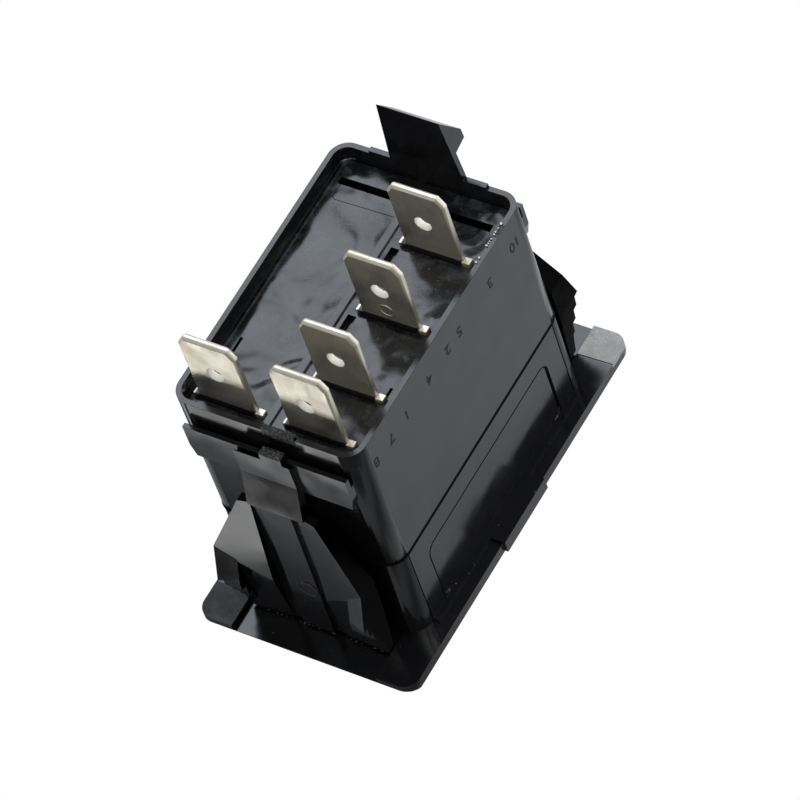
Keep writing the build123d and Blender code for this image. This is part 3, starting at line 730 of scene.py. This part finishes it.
def less_metal(tree, shader, mask, share=1.0):
    """Takes a share of the metal away where the mask is."""
    kept = maths(tree, "SUBTRACT", 1.0, maths(tree, "MULTIPLY", mask, share))
    change(tree, shader.inputs["Metallic"], lambda old: maths(tree, "MULTIPLY", old, kept))


columns = sorted({round(blade_middle(name), 2) for name in nodes if name.startswith("terminal")})
print("blade columns at x", columns)

# %% [markdown]
# A punched hole has no rolled lines, so the bores are plain. Their brightness is a painted highlight: a
# light colour with little metal in it makes them look lit and keeps them from mirroring the dark recess.
# They are found by their distance from the hole's axis.

# %% Painted highlight in the blades' bores
HOLE_Z, BORE_R = 32.4, 0.93
BORE_HIGHLIGHT = (0.9, 0.87, 0.78, 1)


def paint_bore_highlight(material, middles):
    """Painted highlight: plain bright bores at the blades' holes."""
    tree = material.node_tree
    shader = tree.nodes["Principled BSDF"]
    parts = add(tree, "ShaderNodeSeparateXYZ")
    feed(tree, parts.inputs[0], add(tree, "ShaderNodeTexCoord").outputs["Object"])
    high = maths(tree, "SUBTRACT", parts.outputs["Z"], HOLE_Z * MM)
    mask = 0.0
    for middle in middles:
        wide = maths(tree, "SUBTRACT", parts.outputs["X"], middle * MM)
        squared = maths(tree, "MULTIPLY", wide, wide)
        away = maths(tree, "SQRT", maths(tree, "ADD", squared, maths(tree, "MULTIPLY", high, high)))
        mask = maths(tree, "MAXIMUM", mask, spread(tree, away, BORE_R * MM, 1.04 * BORE_R * MM, 1.0, 0.0))
    duller = maths(tree, "MULTIPLY", mask, 0.35)
    change(tree, shader.inputs["Base Color"], lambda old: blend(tree, mask, old, BORE_HIGHLIGHT))
    change(tree, shader.inputs["Roughness"], lambda old: maths(tree, "ADD", old, duller))
    less_metal(tree, shader, mask, 0.75)


paint_bore_highlight(finish["plated_blade"], columns)
print("bores within", BORE_R, "mm of z", HOLE_Z)

# %% [markdown]
# Each blade stands on two shoulders. The left one and the blade's foot are painted black and without metal,
# a painted shade for the dark they lie in, so only the two tips shine.

# %% Painted shade over the blades' feet
FOOT_SHADE_TOP, LEFT_TIP, RIGHT_TIP = 28.1, 0.45, 0.1


def paint_foot_shade(material, middles):
    """Painted shade: black over the blades' feet and left shoulders, except for the tips."""
    tree = material.node_tree
    shader = tree.nodes["Principled BSDF"]
    place = add(tree, "ShaderNodeTexCoord").outputs["Object"]
    mask = 0.0
    for middle in middles:
        sides = (middle - BLADE_W / 2 - LEFT_TIP, middle + BLADE_W / 2 - RIGHT_TIP)
        mask = maths(tree, "MAXIMUM", mask, region(tree, place, x=sides, z=(20.0, FOOT_SHADE_TOP)))
    change(tree, shader.inputs["Base Color"], lambda old: blend(tree, mask, old, (*BLACK, 1)))
    less_metal(tree, shader, mask)


# Painted shade: black, non-metal feet and left shoulders where the blades lie in dark.
paint_foot_shade(finish["plated_blade"], columns)
print("flash up to z", FOOT_SHADE_TOP)

# %% [markdown]
# Each solid takes the finish of its material slot. Only the bezel has a finish of its own, because one pad
# is scuffed and the other carries a painted highlight.

# %% Finishes on the solids
for row in frame["record"]["subparts"]:
    piece = nodes[row["node"]]
    piece.data.materials.clear()
    own = "bezel_nylon" if row["node"] == "bezel" else row["material_slot"]
    piece.data.materials.append(finish[own])
print("finishes on", len(nodes), "nodes")

# %% [markdown]
# ## Small moulded things
#
# What follows is too fine for the solids: raised numbers, scored lines, the cove
# at the foot of the recess wall, two small rings, torn plastic and crumbs. Each is
# a thin piece that sits on its wall, and each rides with the housing.

# %% Piece makers
def finished(name, mesh, material, body="shell"):
    """New object at the origin with one finish, on a body and with its slot."""
    mesh.name = name
    mesh.materials.clear()
    mesh.materials.append(material)
    piece = bpy.data.objects.new(name, mesh)
    bpy.context.collection.objects.link(piece)
    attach(piece, body)
    return piece


def from_bmesh(name, bm, material, smooth=False):
    """Finished piece from a bmesh, with its doubles merged and its faces turned outwards."""
    bmesh.ops.remove_doubles(bm, verts=bm.verts, dist=1e-7)
    bmesh.ops.recalc_face_normals(bm, faces=bm.faces)
    for face in bm.faces:
        face.smooth = smooth
    mesh = bpy.data.meshes.new(name)
    bm.to_mesh(mesh)
    bm.free()
    return finished(name, mesh, material)


def from_curve(name, curve, matrix, material):
    """Finished piece from a curve or a text, made a mesh before its place is applied."""
    holder = bpy.data.objects.new(name, curve)
    bpy.context.collection.objects.link(holder)
    bpy.context.view_layer.update()
    mesh = bpy.data.meshes.new_from_object(holder.evaluated_get(bpy.context.evaluated_depsgraph_get()))
    bpy.data.objects.remove(holder)
    bpy.data.curves.remove(curve)
    mesh.transform(matrix)
    return finished(name, mesh, material)


def dull(name, colour, rough, shine):
    """Plain finish for marks: dark, rough and with little shine."""
    material, tree, shader, place = start(name)
    grain = cloud(tree, place, 4000.0)
    feed(tree, shader.inputs["Roughness"], spread(tree, grain, 0.3, 0.7, rough, rough + 0.1))
    shader.inputs["Base Color"].default_value = (*colour, 1)
    shader.inputs["Specular IOR Level"].default_value = shine
    return material


# Painted shade for the scored lines: near black with almost no shine.
finish["scored"] = dull("scored_line", (0.002, 0.002, 0.0022), 0.6, 0.05)
finish["number"] = dull("raised_number", (0.008, 0.008, 0.0085), 0.5, 0.2)
print("piece makers ready")

# %% [markdown]
# The numbers of the terminals stand on the long wall, turned so that they read
# upright when the switch hangs with its paddle up. They are plain text curves,
# raised a few hundredths of a millimetre.

# %% Numbers on the wall
WALL_X = 10.3
NUMBER_Z = 25.8
NUMBER_SIZE = 1.75


def raised_number(text, y):
    """One number on the +X wall."""
    curve = bpy.data.curves.new("number_" + text, "FONT")
    curve.body = text
    curve.size = NUMBER_SIZE * MM
    curve.align_x = "CENTER"
    curve.align_y = "CENTER"
    curve.extrude = 0.02 * MM
    curve.offset = 0.02 * MM
    turned = Matrix(((0, 0, 1, 0), (-1, 0, 0, 0), (0, -1, 0, 0), (0, 0, 0, 1)))
    place = Matrix.Translation((WALL_X * MM, y * MM, NUMBER_Z * MM)) @ turned
    return from_curve("number_" + text, curve, place, finish["number"])


numbers = {"8": -13.6, "7": -10.8, "1": -7.95, "4": -3.65, "2": -0.1, "5": 2.15, "3": 8.1, "10": 12.9}
for text, y in numbers.items():
    raised_number(text, y)
print("numbers:", " ".join(numbers))

# %% [markdown]
# Scored lines mark where the tool's parts met: around the skirt's panels, down the corners of the skirt, on
# the recess floor and along the seam. Their dark is painted shade: a thin dark bar with almost no shine,
# half sunk in the wall, stands in for the shade in grooves and under steps and reads as one from every side,
# and a curve with a round bevel makes it in one step.

# %% Scored lines in painted shade
def scored(name, points, radius=0.05, closed=False):
    """Thin dark bar of painted shade along a line of points in millimetres."""
    curve = bpy.data.curves.new(name, "CURVE")
    curve.dimensions = "3D"
    curve.bevel_depth = radius * MM
    curve.bevel_resolution = 1
    curve.use_fill_caps = True
    line = curve.splines.new("POLY")
    line.points.add(len(points) - 1)
    for target, point in zip(line.points, points):
        target.co = (*(value * MM for value in point), 1)
    line.use_cyclic_u = closed
    return from_curve(name, curve, Matrix(), finish["scored"])


def corner(middle, radius, start_at, steps=6):
    """Points of a quarter circle that starts at an angle in degrees."""
    turns = [math.radians(start_at + 90 * step / steps) for step in range(steps + 1)]
    return [(middle[0] + radius * math.cos(turn), middle[1] + radius * math.sin(turn)) for turn in turns]


def rounded_box(width, length, radius):
    """Points of a rectangle with round corners, around the origin."""
    points = []
    for side_x, side_y, start_at in ((1, 1, 0), (-1, 1, 90), (-1, -1, 180), (1, -1, 270)):
        points += corner((side_x * (width / 2 - radius), side_y * (length / 2 - radius)), radius, start_at)
    return points


PANEL_L, PANEL_H, PANEL_R = 23.3, 8.5, 1.2
BODY_L, BODY_R, SEAM_Z, FLOOR_Z = 32.3, 2.0, 11.3, 27.2
for side, label in ((1, "right"), (-1, "left")):
    wall = side * (WALL_X - 0.02)
    top = corner((PANEL_L / 2 - PANEL_R, PANEL_H - PANEL_R), PANEL_R, 0)
    top += corner((PANEL_R - PANEL_L / 2, PANEL_H - PANEL_R), PANEL_R, 90)
    outline = [(PANEL_L / 2, 0.5)] + top + [(-PANEL_L / 2, 0.5)]
    scored("panel_line_" + label, [(wall, y, z) for y, z in outline], 0.075)
    for end, far in ((1, "far"), (-1, "near")):
        y = end * (BODY_L / 2 - BODY_R + 0.05)
        ends = [(side * WALL_X, y, 0.5), (side * WALL_X, y, SEAM_Z - 0.1)]
        scored(f"corner_line_{label}_{far}", ends, 0.06)
seam = [(x, y, SEAM_Z - 0.02) for x, y in rounded_box(2 * WALL_X - 0.1, BODY_L - 0.1, BODY_R)]
scored("seam_line", seam, 0.16, closed=True)
strip = [(-8.4, 13.1)] + [(-8.0 - 0.4 * math.cos(a), 11.1 - 0.4 * math.sin(a)) for a in (0, 0.5, 1.05, 1.57)]
scored("floor_line", [(x, y, FLOOR_Z) for x, y in strip + [(-1.35, 10.85)]], 0.035)
scored("pad_line_near", [(-7.9, -21.7, -0.72), (-8.2, -18.2, -0.72)], 0.05)
scored("pad_line_far", [(8.3, 18.4, 0.0), (12.2, 18.5, 0.0)], 0.05)
print("scored lines done")

# %% [markdown]
# The recess wall runs into its floor in a small cove, which shows as a pale
# strip along the black wall. Its section is a square corner with a quarter circle
# cut out, pushed along the wall.

# %% Cove at the foot of the recess wall
RECESS_X, RECESS_Y, COVE_R = 9.73, 15.4, 0.6


def cove():
    """Concave fillet along the left recess wall."""
    bm = bmesh.new()
    start_y = -RECESS_Y * MM
    arc = [(-RECESS_X + COVE_R + x, FLOOR_Z + COVE_R + z) for x, z in corner((0, 0), COVE_R, 180, 8)]
    section = [(-RECESS_X - 0.02, FLOOR_Z - 0.02), (-RECESS_X - 0.02, FLOOR_Z + COVE_R)] + arc
    section.append((-RECESS_X + COVE_R, FLOOR_Z - 0.02))
    face = bm.faces.new([bm.verts.new((x * MM, start_y, z * MM)) for x, z in section])
    pushed = bmesh.ops.extrude_face_region(bm, geom=[face])
    moved = [item for item in pushed["geom"] if isinstance(item, bmesh.types.BMVert)]
    bmesh.ops.translate(bm, verts=moved, vec=(0, 2 * RECESS_Y * MM, 0))
    return from_bmesh("recess_cove", bm, finish["housing_nylon"])


cove()
print("cove radius", COVE_R, "mm")

# %% [markdown]
# One blade carries a ring that a punch left below its hole, and the near wing a
# ring that an ejector left. A small circle spun around the ring's axis makes each,
# sunk by half its thickness.

# %% Two small rings
RING_Z = 29.5
WING_RING = (0.6, -18.73, 6.5)


def blade_front(name):
    """Y of a blade's near face above the recess, in millimetres."""
    return min(corner.co.y for corner in nodes[name].data.vertices if corner.co.z > 0.034) / MM


def flat_ring(name, middle, radius, thick, material):
    """Thin ring on a face that looks towards the near end; its middle in millimetres."""
    bm = bmesh.new()
    bmesh.ops.create_circle(bm, segments=8, radius=thick * MM)
    bmesh.ops.rotate(bm, verts=bm.verts, matrix=Matrix.Rotation(math.radians(90), 3, "X"))
    bmesh.ops.translate(bm, verts=bm.verts, vec=(radius * MM, 0, 0))
    bmesh.ops.rotate(bm, verts=bm.verts, cent=(0, 0, 0), matrix=Matrix.Rotation(math.radians(90), 3, "X"))
    middle = Vector(middle) * MM
    bmesh.ops.translate(bm, verts=bm.verts, vec=middle)
    bmesh.ops.spin(
        bm, geom=bm.verts[:] + bm.edges[:], cent=middle, axis=(0, 1, 0), angle=math.tau, steps=40,
        use_merge=True)
    return from_bmesh(name, bm, finish[material], smooth=True)


front = (blade_middle("terminal_2"), blade_front("terminal_2"), RING_Z)
flat_ring("punch_ring", front, 0.75, 0.05, "plated_blade")
flat_ring("wing_ring", WING_RING, 1.0, 0.07, "housing_nylon")
print("middle blade: x", round(blade_middle("terminal_2"), 2), "y", round(blade_front("terminal_2"), 2))

# %% [markdown]
# Where the near ear broke off, the nylon has torn: the stub's top and the rim
# beside it are rough and pale with stress. A torn patch is a fine grid whose
# inner points are lifted by noise, with a closed underside.

# %% Torn nylon
def torn_finish():
    """Rough nylon with pale stressed grains."""
    material, tree, shader, place = start("torn_nylon")
    fleck = spread(tree, cloud(tree, place, 4500.0, 3.0, 0.7), 0.48, 0.7)
    tone = blend(tree, fleck, (0.014, 0.014, 0.015, 1), (0.17, 0.165, 0.16, 1))
    feed(tree, shader.inputs["Base Color"], tone)
    feed(tree, shader.inputs["Roughness"], spread(tree, fleck, 0.0, 1.0, 0.35, 0.6))
    bumped(tree, shader, maths(tree, "MULTIPLY", cloud(tree, place, 7000.0, 3.0, 0.7), 0.00005))
    return material


def torn_patch(name, middle, size, lift, seed, turn=0.0):
    """Rough patch around a point in millimetres; size is x and y, lift its height."""
    bm = bmesh.new()
    bmesh.ops.create_grid(bm, x_segments=36, y_segments=14, size=0.5)
    inner = [vert for vert in bm.verts if not vert.is_boundary]
    for vert in inner:
        wild = noise.noise(Vector((vert.co.x * size[0] * 4, vert.co.y * size[1] * 4, seed))) + 0.6
        vert.co.z = max(0.0, wild) * lift * (1 - (2 * abs(vert.co.y)) ** 4)
    pushed = bmesh.ops.extrude_face_region(bm, geom=bm.faces[:])
    base = [item for item in pushed["geom"] if isinstance(item, bmesh.types.BMVert)]
    for vert in base:
        vert.co.z = -0.1
    bmesh.ops.scale(bm, verts=bm.verts, vec=(size[0] * MM, size[1] * MM, MM))
    bmesh.ops.rotate(bm, verts=bm.verts, cent=(0, 0, 0), matrix=Matrix.Rotation(math.radians(turn), 3, "X"))
    bmesh.ops.translate(bm, verts=bm.verts, vec=Vector(middle) * MM)
    return from_bmesh(name, bm, finish["torn"])


finish["torn"] = torn_finish()
torn_patch("stub_break", (1.2, -17.1, 27.2), (2.4, 1.0), 0.18, 3.0)
torn_patch("rim_break", (1.8, -15.87, 29.42), (3.6, 0.6), 0.2, 7.0)
torn_patch("rim_break_side", (1.8, -16.14, 28.85), (3.6, 1.0), 0.08, 11.0, 90.0)
torn_patch("rim_chip", (10.0, 11.8, 29.08), (0.5, 1.8), 0.12, 5.0)
print("torn patches: stub, rim and chip")

# %% [markdown]
# Crumbs of flash cling to the near wing's cut foot and to edges, and pale flakes
# lie along the chipped part of the rim. They are tiny lumps: icospheres with their
# points pushed about, scattered along a line.

# %% Crumbs of flash
def crumbs(name, line, count, size, seed, material="torn"):
    """Tiny lumps scattered along a line of points in millimetres."""
    draw = random.Random(seed)
    bm = bmesh.new()
    for _ in range(count):
        step = draw.uniform(0, len(line) - 1.001)
        first, second = Vector(line[int(step)]), Vector(line[int(step) + 1])
        middle = first.lerp(second, step % 1) * MM
        made = bmesh.ops.create_icosphere(bm, subdivisions=1, radius=draw.uniform(0.3, 1.0) * size * MM)
        for vert in made["verts"]:
            vert.co *= draw.uniform(0.6, 1.3)
            vert.co.z *= 0.6
        bmesh.ops.translate(bm, verts=made["verts"], vec=middle)
    return from_bmesh(name, bm, finish[material])


finish["flake"] = dull("flake", (0.75, 0.74, 0.72), 0.3, 0.5)
FOOT_Y, FOOT_Z = 18.9, -0.3
foot = [(x, -FOOT_Y, FOOT_Z) for x in (-6.0, 0.2, 7.8)]
crumbs("foot_crumbs_near", foot, 26, 0.13, 2)
crumbs("rim_crumbs", [(0.3, -15.5, 29.1), (2.2, -15.5, 29.1), (3.4, -15.55, 29.1)], 14, 0.1, 5)
crumbs("chip_crumbs", [(9.85, 10.4, 29.0), (9.9, 12.8, 29.0)], 12, 0.12, 9)
crumbs("rim_flakes", [(9.78, 7.4, 29.2), (9.8, 10.4, 29.2), (9.84, 12.7, 29.2)], 13, 0.15, 21, "flake")
crumbs("ledge_crumbs", [(11.0, -15.0, 0.4), (11.0, 0.3, 0.4), (11.0, 13.7, 0.4)], 9, 0.08, 4)
print("crumbs scattered")

# %% [markdown]

# %% Finish
print("scene dressed")
